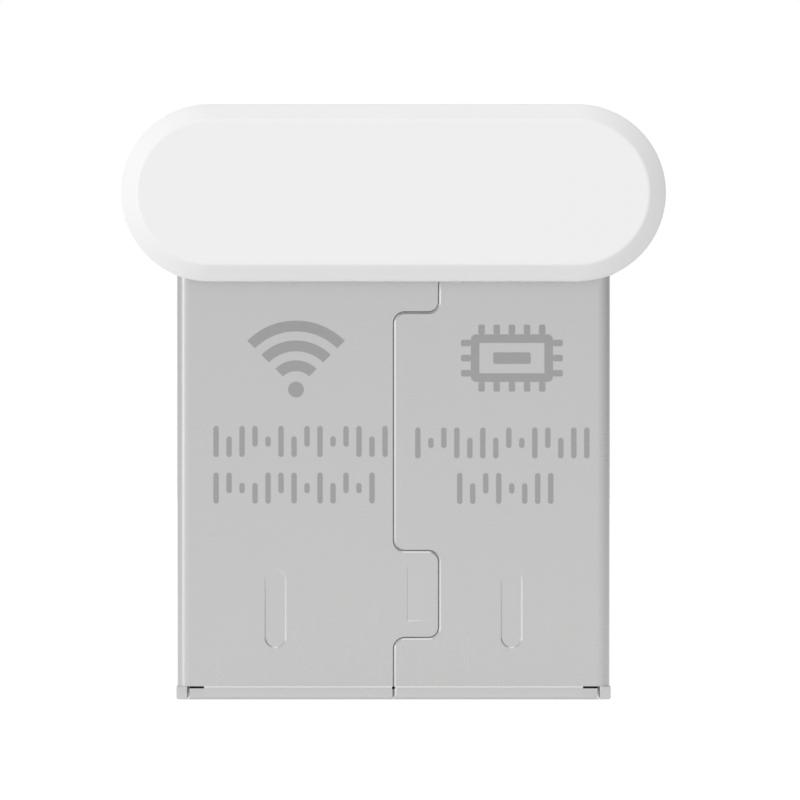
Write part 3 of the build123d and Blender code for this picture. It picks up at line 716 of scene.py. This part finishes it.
front_cover = cover("front_cover_moulding", -1)
groove_wall = JOINT_WALL + JOINT_GAP
groove_ys = (-JOINT_DEPTH - JOINT_GAP, JOINT_DEPTH)
cut(front_cover, pill(CAP_WALL - groove_wall, groove_ys, CAVITY_SIDE + groove_wall))
weld(front_cover, *posts(-CAVITY_FACE - POST_GAP, board_low.y - POST_GAP))
hole = {"radius": PEG_RADIUS + POST_GAP, "ends": (-PEG_LENGTH - POST_GAP, PEG_LENGTH)}
cut(front_cover, *(bar("hole", x=x, z=CAP_TOP_Z / 2, **hole) for x in (-PEG_X, PEG_X)))

rear_cover = cover("rear_cover_moulding", 1)
lip = pill(CAP_WALL - JOINT_WALL, (-JOINT_DEPTH, JOINT_ROOT), CAVITY_SIDE + JOINT_WALL)
cut(lip, pill(CAP_WALL, (-2 * JOINT_DEPTH, 2 * JOINT_DEPTH), CAVITY_SIDE))
passage_side = PLUG_SIDE + PASSAGE_GAP
cut(lip, block("passage", (-passage_side, -PLUG_FACE, -MM), (passage_side, PLUG_FACE, MM)))
weld(rear_cover, lip, *posts(CAVITY_FACE + POST_GAP, board_high.y + POST_GAP))
for x in (-PEG_X, PEG_X):
    weld(rear_cover, bar("peg", PEG_RADIUS, (-PEG_LENGTH, JOINT_ROOT), x, CAP_TOP_Z / 2))
wall_low = (-BORE_SIDE, board_high.y + POST_GAP, RIB_LOW_Z)
wall_high = (BORE_SIDE, CAVITY_FACE + POST_GAP, RIB_LOW_Z + RIB_HEIGHT)
weld(rear_cover, block("wall", wall_low, wall_high))
for piece, node in ((front_cover, "front_cover"), (rear_cover, "rear_cover")):
    finish_surface(piece)
    stand_for(piece, node)

WHITE = (0.86, 0.86, 0.86)
WHITE_WARM = (0.85, 0.85, 0.847)
plastic = Finish("satin_white_moulding", Specular_IOR_Level=0.5)
spark = plastic.noise(14, detail=3)
flow = plastic.noise(0.25)
plastic.vary(Base_Color=plastic.blend(flow, WHITE, WHITE_WARM))
plastic.vary(Roughness=0.36 + 0.10 * spark + 0.04 * flow)
plastic.relief(0.0016 * spark)
plastic.coat(front_cover, rear_cover)


# ---- Board carrier ---------------------------------------------------------------------------
# A black glass-filled moulding that fills the seamed side of the shell. Its nose leads the host's
# tongue in, its rails and ledges hold the board, and a window lets the radio reach the shell.

carrier_low, carrier_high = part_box("board_carrier")
NOSE_LENGTH = 1.00 * MM
NOSE_REACH = 0.08 * MM
NOSE_CHAMFER = 0.30 * MM
CARRIER_RAIL = 0.40 * MM
CARRIER_LEDGE = 0.40 * MM
CARRIER_FLOOR = 0.25 * MM
CARRIER_EDGE = 0.04 * MM
radio_low, radio_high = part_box("radio_chip")
WINDOW_MARGIN = 0.25 * MM

nose_z = carrier_low.z - NOSE_REACH
carrier_corner = (carrier_low.x, carrier_low.y, nose_z)
carrier = block("board_carrier_moulding", carrier_corner, carrier_high)
round_off(
    carrier, lambda e: lies_at(e, 1, carrier_high.y) and lies_at(e, 2, nose_z), NOSE_CHAMFER, 1
)
round_off(carrier, lambda e: is_corner(e), CARRIER_EDGE, 3)
seat_side = carrier_high.x - CARRIER_RAIL
ledge_side = seat_side - CARRIER_LEDGE
seat_z = carrier_low.z + NOSE_LENGTH
floor_y = carrier_low.y + CARRIER_FLOOR
beyond = carrier_high + Vector((MM, MM, MM))
cut(carrier, block("seat", (-seat_side, board_low.y, seat_z), (seat_side, beyond.y, beyond.z)))
well_z = seat_z + CARRIER_LEDGE
cut(carrier, block("well", (-ledge_side, floor_y, well_z), (ledge_side, 0, beyond.z)))
window_low = (-ledge_side, -PLUG_FACE, radio_low.z - WINDOW_MARGIN)
window_high = (ledge_side, 0, radio_high.z + WINDOW_MARGIN)
cut(carrier, block("window", window_low, window_high))
finish_surface(carrier)
stand_for(carrier, "board_carrier")

CARRIER_BLACK = ((0.016, 0.016, 0.018), (0.030, 0.030, 0.032))
moulding = Finish("black_glass_filled_moulding", Specular_IOR_Level=0.45)
fibres = moulding.noise(6, stretch=(1, 1, 0.25), detail=3)
moulding.grained(fibres, CARRIER_BLACK, (0.42, 0.60), height=0.003)
moulding.coat(carrier)


# ---- Plug contacts ---------------------------------------------------------------------------
# Four gold-plated contacts on the board. The outer two, for power and ground, reach further
# towards the mouth, so that they meet the port first.

CONTACT_ROUND = 0.20 * MM
CONTACT_EDGE = 0.03 * MM
contacts = []
for name in ("contact_vbus", "contact_data_minus", "contact_data_plus", "contact_ground"):
    low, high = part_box(name)
    contact = block(name + "_plated", low, high)
    front = low.z
    round_off(contact, lambda e: runs_along(e, 1) and lies_at(e, 2, front), CONTACT_ROUND, 8)
    round_off(contact, lambda e: lies_at(e, 1, high.y) and is_corner(e), CONTACT_EDGE, 3)
    finish_surface(contact)
    stand_for(contact, name)
    contacts.append(contact)

GOLD = ((0.80, 0.56, 0.23), (0.88, 0.66, 0.33))
gold = Finish("gold_plate", Metallic=1.0)
burnish = gold.noise(5, stretch=(4, 4, 0.4), detail=3)
gold.grained(burnish, GOLD, (0.20, 0.34), height=0.0012)
gold.coat(*contacts)


# ---- Printed circuit board -------------------------------------------------------------------
# Glass-epoxy laminate under green solder mask. Tracks show as ridges under the mask, with tinned
# vias between them, and the cut edges show the bare laminate.

MASK_REACH = 0.02
TRACK_PITCH = 0.62
TRACK_EDGE = (0.06, 0.09)
VIA_PITCH_X = 1.24
VIA_PITCH_Z = 1.37
VIA_EDGE_SQUARED = (0.016, 0.022)
VIAS_START_Z = (-2.4, -2.2)
MASK_GREEN = ((0.010, 0.085, 0.038), (0.022, 0.165, 0.070))
VIA_TIN = (0.55, 0.56, 0.54)
BARE_LAMINATE = ((0.34, 0.32, 0.16), (0.48, 0.46, 0.26))
laminate = Finish("green_solder_mask_board", Specular_IOR_Level=0.55)
on_face = (laminate.y - board_high.y / MM).size() < MASK_REACH
on_back = (laminate.y - board_low.y / MM).size() < MASK_REACH
masked = on_face + on_back
track_lines = 1 - laminate.x.wrapped(TRACK_PITCH).ramp(*TRACK_EDGE)
track_runs = laminate.noise(0.5, stretch=(1.6, 1, 0.12), detail=0).ramp(0.48, 0.5)
tracks = track_lines * track_runs
via_x = laminate.x.wrapped(VIA_PITCH_X)
via_z = laminate.z.wrapped(VIA_PITCH_Z)
past_contacts = laminate.z.ramp(*VIAS_START_Z)
vias = past_contacts * (1 - (via_x * via_x + via_z * via_z).ramp(*VIA_EDGE_SQUARED))
weave = laminate.noise(3, stretch=(1, 6, 1), detail=2)
with_vias = laminate.blend(vias, laminate.blend(tracks, *MASK_GREEN), VIA_TIN)
edge_colour = laminate.blend(weave, *BARE_LAMINATE)
laminate.vary(Base_Color=laminate.blend(masked, edge_colour, with_vias))
laminate.vary(Roughness=0.62 - 0.34 * masked, Metallic=vias * masked)
laminate.relief(masked * (0.02 * tracks + 0.015 * vias) + 0.002 * weave, rounded=0.02)
laminate.coat(nodes["main_board"])


# ---- Chips -----------------------------------------------------------------------------------
# The radio, the regulator and the surge protector are moulded in black epoxy, their faces dull
# from the mould.

EPOXY_BLACK = ((0.014, 0.014, 0.015), (0.035, 0.035, 0.037))
epoxy = Finish("black_moulding_compound", Specular_IOR_Level=0.4)
epoxy.grained(epoxy.noise(16, detail=3), EPOXY_BLACK, (0.52, 0.72), height=0.004, rounded=0.04)
epoxy.coat(*(nodes[name] for name in ("radio_chip", "voltage_regulator", "surge_protector")))


# ---- Tinned metal ----------------------------------------------------------------------------
# Leads, pads, end caps and solder joints share one finish: bright tin, slightly frosted where it
# froze.

TIN = ((0.62, 0.62, 0.63), (0.74, 0.74, 0.74))
tin = Finish("bright_tin", Metallic=1.0)
tin.grained(tin.noise(9, detail=4), TIN, (0.16, 0.42), height=0.003, rounded=0.03)
tinned = ("radio_chip_pads", "passive_end_caps", "power_inductor_terminals", "regulator_leads")
tinned += ("surge_protector_leads", "antenna_solder", "shell_solder")
tin.coat(*(nodes[name] for name in tinned))


# ---- Chip capacitors and resistors -----------------------------------------------------------
# A column on each side of the radio: capacitors of brown sintered ceramic, and resistors with a
# black film under a glaze.

CERAMIC_BROWN = ((0.30, 0.20, 0.11), (0.40, 0.28, 0.17))
ceramic = Finish("capacitor_ceramic", Specular_IOR_Level=0.5)
sinter = ceramic.noise(12, detail=3)
ceramic.grained(sinter, CERAMIC_BROWN, (0.45, 0.65), height=0.002, rounded=0.04)
ceramic.coat(nodes["chip_capacitors"])

FILM_BLACK = ((0.010, 0.010, 0.012), (0.022, 0.022, 0.025))
film = Finish("resistor_film", Specular_IOR_Level=0.6)
film.grained(film.noise(4, detail=2), FILM_BLACK, (0.18, 0.33), height=0.002, rounded=0.03)
film.coat(nodes["chip_resistors"])


# ---- Power inductor --------------------------------------------------------------------------
# A moulded block of grey ferrite with a sandy face, soldered to the board by a terminal at each
# end.

POWDER_GREY = ((0.05, 0.05, 0.054), (0.10, 0.10, 0.105))
ferrite = Finish("moulded_ferrite", Specular_IOR_Level=0.4)
powder = ferrite.noise(18, detail=3)
ferrite.grained(powder, POWDER_GREY, (0.55, 0.75), height=0.006, rounded=0.05)
ferrite.coat(nodes["power_inductor_core"])


# ---- Clock crystal ---------------------------------------------------------------------------
# A tray of brown fired ceramic on the board, closed by a welded lid of brushed alloy that is a
# little smaller all round.

ALUMINA_BROWN = ((0.10, 0.075, 0.055), (0.16, 0.12, 0.09))
alumina = Finish("brown_alumina", Specular_IOR_Level=0.45)
fired = alumina.noise(8, detail=3)
alumina.grained(fired, ALUMINA_BROWN, (0.50, 0.65), height=0.002, rounded=0.03)
alumina.coat(nodes["crystal_base"])

LID_ALLOY = ((0.60, 0.57, 0.50), (0.70, 0.67, 0.60))
kovar = Finish("welded_alloy_lid", Metallic=1.0)
brushed = kovar.noise(5, stretch=(0.3, 1, 5), detail=3)
kovar.grained(brushed, LID_ALLOY, (0.24, 0.40), height=0.001, rounded=0.04)
kovar.coat(nodes["crystal_lid"])


# ---- Thermal pad -----------------------------------------------------------------------------
# Soft filled silicone in blue. It joins the radio to the shell through the window in the
# carrier's floor.

PAD_BLUE = ((0.20, 0.33, 0.45), (0.28, 0.42, 0.54))
silicone = Finish("filled_silicone_pad", Specular_IOR_Level=0.3)
filler = silicone.noise(10, detail=4)
silicone.grained(filler, PAD_BLUE, (0.75, 0.90), height=0.008, rounded=0.06)
silicone.coat(nodes["thermal_pad"])


# ---- Antenna ---------------------------------------------------------------------------------
# A strip stamped from tinned bronze, with its grain along it. It is folded over along its top
# edge into two legs, which are soldered to the board.

STRIP_BRONZE = ((0.64, 0.62, 0.58), (0.72, 0.70, 0.66))
bronze = Finish("tinned_bronze_strip", Metallic=1.0)
strip_grain = bronze.noise(3, stretch=(0.2, 6, 6), detail=3)
bronze.grained(strip_grain, STRIP_BRONZE, (0.26, 0.42), height=0.001, rounded=0.03)
bronze.coat(nodes["antenna"])


# ---- Status light ----------------------------------------------------------------------------
# A white tray on the board, under a shorter block of clear resin with its two outer edges
# rounded.

TRAY_WHITE = ((0.72, 0.72, 0.70), (0.80, 0.80, 0.78))
tray = Finish("white_light_tray", Specular_IOR_Level=0.5)
tray.grained(tray.noise(10), TRAY_WHITE, (0.40, 0.60))
tray.coat(nodes["status_led_base"])

RESIN_CLEAR = ((0.90, 0.93, 0.95), (0.95, 0.97, 0.98))
resin = Finish("clear_resin_lens", IOR=1.52, Transmission_Weight=0.85)
resin.grained(resin.noise(4), RESIN_CLEAR, (0.06, 0.12))
resin.coat(nodes["status_led_lens"])


# ---- Floor, light and camera -----------------------------------------------------------------
# A pale floor under the plug's mouth that is clear from below, a white studio all round, one soft
# light low on the left and one high above, and a long lens square to the seamed side.

FLOOR_RADIUS = 0.5
FLOOR_GAP = 0.02 * MM
FLOOR_WHITE = ((0.93, 0.93, 0.93), (0.96, 0.96, 0.96))
FLOOR_GLOW = ((0.97, 0.97, 0.97), (1.0, 1.0, 1.0))
bpy.ops.object.select_all(action="DESELECT")
bpy.ops.mesh.primitive_circle_add(
    vertices=96, radius=FLOOR_RADIUS, fill_type="NGON", location=(0, 0, MOUTH_Z - FLOOR_GAP)
)
floor = bpy.context.object
floor.name = "studio_floor"
floor.visible_diffuse = floor.visible_shadow = False
paper = Finish("white_studio_floor", Roughness=0.9, Specular_IOR_Level=0.1, Emission_Strength=0.6)
fibre = paper.noise(0.05)
paper.vary(Base_Color=paper.blend(fibre, *FLOOR_WHITE))
paper.vary(Emission_Color=paper.blend(fibre, *FLOOR_GLOW))
below = paper.node("ShaderNodeNewGeometry").outputs["Backfacing"]
clear = paper.node("ShaderNodeBsdfTransparent").outputs[0]
seen = paper.node("ShaderNodeMixShader", inputs={0: below, 1: paper.shader.outputs[0], 2: clear})
paper.feed(paper.tree.nodes["Material Output"].inputs["Surface"], seen.outputs[0])
paper.coat(floor)

STUDIO_LEVEL = 0.69
STUDIO_SLOPE = (-0.30, -0.36, 0.09)
STUDIO_BACK = 0.45
world = bpy.data.worlds.new("white_studio")
bpy.context.scene.world = world
world.use_nodes = True
studio = Nodes(world.node_tree)
direction = studio.node("ShaderNodeTexCoord").outputs["Generated"]
sloped = {0: direction, 1: STUDIO_SLOPE}
slope = studio.node("ShaderNodeVectorMath", {"operation": "DOT_PRODUCT"}, sloped)
apart = studio.node("ShaderNodeSeparateXYZ", inputs={"Vector": direction})
behind = Amount(studio, apart.outputs["Y"]).ramp(0, 1)
level = STUDIO_LEVEL + Amount(studio, slope.outputs["Value"]) + STUDIO_BACK * behind * behind
seen_direct = Amount(studio, studio.node("ShaderNodeLightPath").outputs["Is Camera Ray"])
strength = seen_direct + (1 - seen_direct) * level
studio.feed(world.node_tree.nodes["Background"].inputs["Strength"], strength)
world.node_tree.nodes["Background"].inputs["Color"].default_value = (1, 1, 1, 1)


def softbox(name, turn, rise, distance, size, power):
    """A soft light turned left and raised from the seamed side's axis, hidden from the camera."""
    light = bpy.data.lights.new(name, "AREA")
    light.shape, light.size, light.energy = "SQUARE", size, power
    holder = bpy.data.objects.new(name, light)
    bpy.context.scene.collection.objects.link(holder)
    turn, rise = math.radians(turn), math.radians(rise)
    level = math.cos(rise)
    away = Vector((-math.sin(turn) * level, -math.cos(turn) * level, math.sin(rise)))
    holder.location = (cad_low + cad_high) / 2 + distance * away
    holder.rotation_euler = away.to_track_quat("Z", "Y").to_euler()
    holder.visible_camera = False


softbox("key_softbox", 62, 5, 0.5, 0.16, 0.12)
softbox("top_softbox", 0, 62, 0.5, 0.26, 0.20)

FRAME_WIDTH = 22.16 * MM
FRAME_MIDDLE = (0.18 * MM, -3.27 * MM)
LENS = 400.0
SENSOR = 36.0
camera_data = bpy.data.cameras.new("camera")
camera_data.lens, camera_data.sensor_width = LENS, SENSOR
camera = bpy.data.objects.new("camera", camera_data)
bpy.context.scene.collection.objects.link(camera)
distance = FRAME_WIDTH * LENS / SENSOR
camera.location = (FRAME_MIDDLE[0], -PLUG_FACE - distance, FRAME_MIDDLE[1])
camera.rotation_euler = (math.radians(90), 0, 0)
camera_data.clip_start, camera_data.clip_end = distance / 100, distance * 10
bpy.context.scene.camera = camera
bpy.context.scene.view_settings.view_transform = "Standard"
